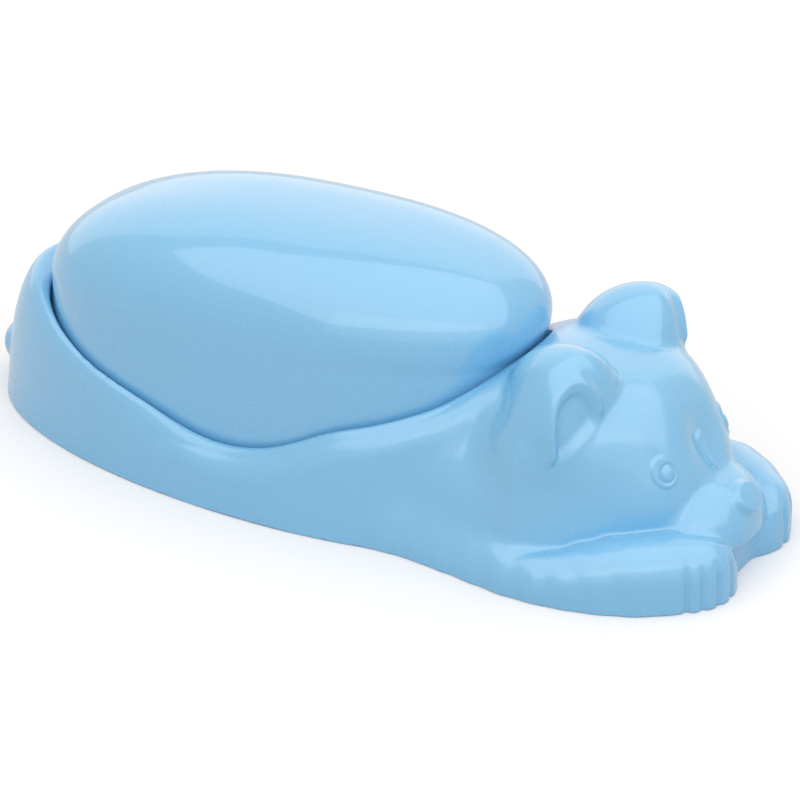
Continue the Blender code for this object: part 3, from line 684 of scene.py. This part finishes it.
gloss = {
    "color": "80C4EB", "deeper": "7CC1E9",   # the two are near: slow colour drift of moulded plastic
    "smoothLow": 0.24, "smoothHigh": 0.31,   # roughness range of the body, a broad sheen
    "between": (0.3, 0.7),                   # most of the noise lies between these values
    "ior": 1.53, "skinIor": 1.7,             # the polished skin mirrors the lights with clear edges
    "waveDepth": 0.010,                      # mm, depth of the ripple that the mould's polish leaves
    # mm from crest to crest, and levels of finer detail
    "patterns": {"drift": (38.0, 2.0), "rough": (6.0, 3.0), "wave": (9.0, 0.0)},
}
finishes = {
    # the pattern's own start on each piece, and the roughness of its polished skin
    "bear_base": ((0, 0, 0), 0.15),
    "dome_lid": ((0.31, 0.17, 0), 0.06),
    "soap_rest": ((0.7, 0.4, 0), 0.15),
}


def mouldedPlastic(name, shift, skinRough):
    # glossy injection-moulded ABS: even light-blue body, broad soft highlights with slightly uneven edges
    material = bpy.data.materials.new(name)
    material.use_nodes = True
    tree = material.node_tree
    tree.nodes.clear()
    place = addNode(tree, "ShaderNodeTexCoord")
    moved = addNode(tree, "ShaderNodeMapping", {"Location": shift}, {"Vector": place.outputs["Object"]})
    pattern = {}
    for kind, (size, detail) in gloss["patterns"].items():
        noise = addNode(tree, "ShaderNodeTexNoise", {"Scale": 1 / (size * mm), "Detail": detail},
                        {"Vector": moved.outputs["Vector"]})
        pattern[kind] = noise.outputs["Fac"]
    color = addNode(tree, "ShaderNodeMix",
                    {"data_type": "RGBA", 6: linearColor(gloss["deeper"]), 7: linearColor(gloss["color"])},
                    {0: pattern["drift"]})
    rough = addNode(tree, "ShaderNodeMapRange",
                    {"From Min": gloss["between"][0], "From Max": gloss["between"][1],
                     "To Min": gloss["smoothLow"], "To Max": gloss["smoothHigh"]},
                    {"Value": pattern["rough"]})
    wave = addNode(tree, "ShaderNodeBump", {"Strength": 1.0, "Distance": gloss["waveDepth"] * mm},
                   {"Height": pattern["wave"]})
    shader = addNode(tree, "ShaderNodeBsdfPrincipled",
                     {"IOR": gloss["ior"], "Coat Weight": 1.0, "Coat Roughness": skinRough,
                      "Coat IOR": gloss["skinIor"]},
                     {"Base Color": color.outputs[2], "Roughness": rough.outputs[0],
                      "Normal": wave.outputs["Normal"], "Coat Normal": wave.outputs["Normal"]})
    addNode(tree, "ShaderNodeOutputMaterial", None, {"Surface": shader.outputs["BSDF"]})
    return material


# Camera, light and floor

view = {
    "target": (14.6, -9.76, 24.7), "azimuth": 30.0, "elevation": 27.3, "distance": 864.5,
    "focal": 173.4, "sensor": 36, "near": 0.01, "far": 50,
}


def makeCamera():
    azimuth, elevation = math.radians(view["azimuth"]), math.radians(view["elevation"])
    flat = math.cos(elevation)
    away = Vector((math.sin(azimuth) * flat, -math.cos(azimuth) * flat, math.sin(elevation)))
    camera = bpy.data.objects.new("camera", bpy.data.cameras.new("camera"))
    camera.data.lens, camera.data.sensor_width = view["focal"], view["sensor"]
    camera.data.clip_start, camera.data.clip_end = view["near"], view["far"]
    camera.location = Vector(view["target"]) * mm + away * view["distance"] * mm
    camera.rotation_euler = (-away).to_track_quat("-Z", "Y").to_euler()
    scene.collection.objects.link(camera)
    scene.camera = camera


lamps = {
    # metres: middle, directions of width and height, width, height, brightness (white is 1)
    "front_panel": ((0.03, -0.25, 1.24), (0.743, 0.669, 0), (-0.541, 0.601, 0.588), 3.6, 2.6, 0.84),
    "back_panel": ((-0.87, 1.22, 1.3), (-0.815, -0.579, 0), (0, 0, 1), 3.6, 2.6, 0.46),
    "low_fill": ((1.15, -1.99, 0.9), (0.866, 0.5, 0), (0, 0, 1), 4.6, 1.8, 0.35),
}


def makeLamps():
    # large even panels: their edges show as the soft-edged bands on the lid
    for name, (middle, across, upward, width, height, bright) in lamps.items():
        lamp = bpy.data.lights.new(name, "AREA")
        lamp.shape, lamp.size, lamp.size_y = "RECTANGLE", width, height
        lamp.energy = bright * math.pi * width * height
        across = Vector(across).normalized()
        away = across.cross(Vector(upward)).normalized()
        lampObject = bpy.data.objects.new(name, lamp)
        turned = Matrix((across, away.cross(across), away)).transposed().to_4x4()
        lampObject.matrix_world = Matrix.Translation(middle) @ turned
        scene.collection.objects.link(lampObject)


room = {
    "diffuse": 0.43, "glossy": 0.75,       # the room's brightness as light, and as the polished skin sees it
    "tint": (0.98, 0.99, 1.0, 1),
    "floorHalf": 3.0,                      # metres
    "paper": "C2C5C9", "seen": "FEFAF8",   # the floor's own colour, and the paler one that the camera sees
    "lift": 0.06, "mirrorLift": 0.2,       # light added to it for the camera, and for the polished skin
}
white = (1, 1, 1, 1)


def makeWorld():
    # soft even room light; mirror-like rays see it brighter and the camera sees plain white
    world = bpy.data.worlds.new("studio")
    scene.world = world
    world.use_nodes = True
    tree = world.node_tree
    tree.nodes.clear()
    path = addNode(tree, "ShaderNodeLightPath")
    strength = addNode(tree, "ShaderNodeMapRange", {"To Min": room["diffuse"], "To Max": room["glossy"]},
                       {"Value": path.outputs["Is Glossy Ray"]})
    air = addNode(tree, "ShaderNodeBackground", {"Color": room["tint"]}, {"Strength": strength.outputs[0]})
    backdrop = addNode(tree, "ShaderNodeBackground", {"Color": white, "Strength": 1.0})
    mix = addNode(tree, "ShaderNodeMixShader", None,
                  {0: path.outputs["Is Camera Ray"], 1: air.outputs[0], 2: backdrop.outputs[0]})
    addNode(tree, "ShaderNodeOutputWorld", None, {"Surface": mix.outputs[0]})


def makeFloor():
    # plain pale paper, lifted to white for the camera so that only the shadow stays
    half = room["floorHalf"]
    mesh = bpy.data.meshes.new("floor")
    corners = [(-half, -half, 0), (half, -half, 0), (half, half, 0), (-half, half, 0)]
    mesh.from_pydata(corners, [], [(0, 1, 2, 3)])
    floor = bpy.data.objects.new("floor", mesh)
    scene.collection.objects.link(floor)
    material = bpy.data.materials.new("pale_paper")
    material.use_nodes = True
    tree = material.node_tree
    tree.nodes.clear()
    path = addNode(tree, "ShaderNodeLightPath")
    color = addNode(tree, "ShaderNodeMix",
                    {"data_type": "RGBA", 6: linearColor(room["paper"]), 7: linearColor(room["seen"])},
                    {0: path.outputs["Is Camera Ray"]})
    paper = addNode(tree, "ShaderNodeBsdfDiffuse", None, {"Color": color.outputs[2]})
    mirror = addNode(tree, "ShaderNodeMath", {"operation": "MULTIPLY", 1: room["mirrorLift"]},
                     {0: path.outputs["Is Glossy Ray"]})
    amount = addNode(tree, "ShaderNodeMath", {"operation": "MULTIPLY_ADD", 1: room["lift"]},
                     {0: path.outputs["Is Camera Ray"], 2: mirror.outputs[0]})
    lift = addNode(tree, "ShaderNodeEmission", {"Color": white}, {"Strength": amount.outputs[0]})
    both = addNode(tree, "ShaderNodeAddShader", None, {0: paper.outputs[0], 1: lift.outputs[0]})
    addNode(tree, "ShaderNodeOutputMaterial", None, {"Surface": both.outputs[0]})
    mesh.materials.append(material)


scene.view_settings.view_transform = "Standard"
makeCamera()
print("camera made")
for piece in (makeBase(), makeLid(), makeRest()):
    piece.data.materials.append(mouldedPlastic("gloss_" + piece.name, *finishes[piece.name]))
print("materials made")
makeWorld()
makeLamps()
makeFloor()
print("stage made")
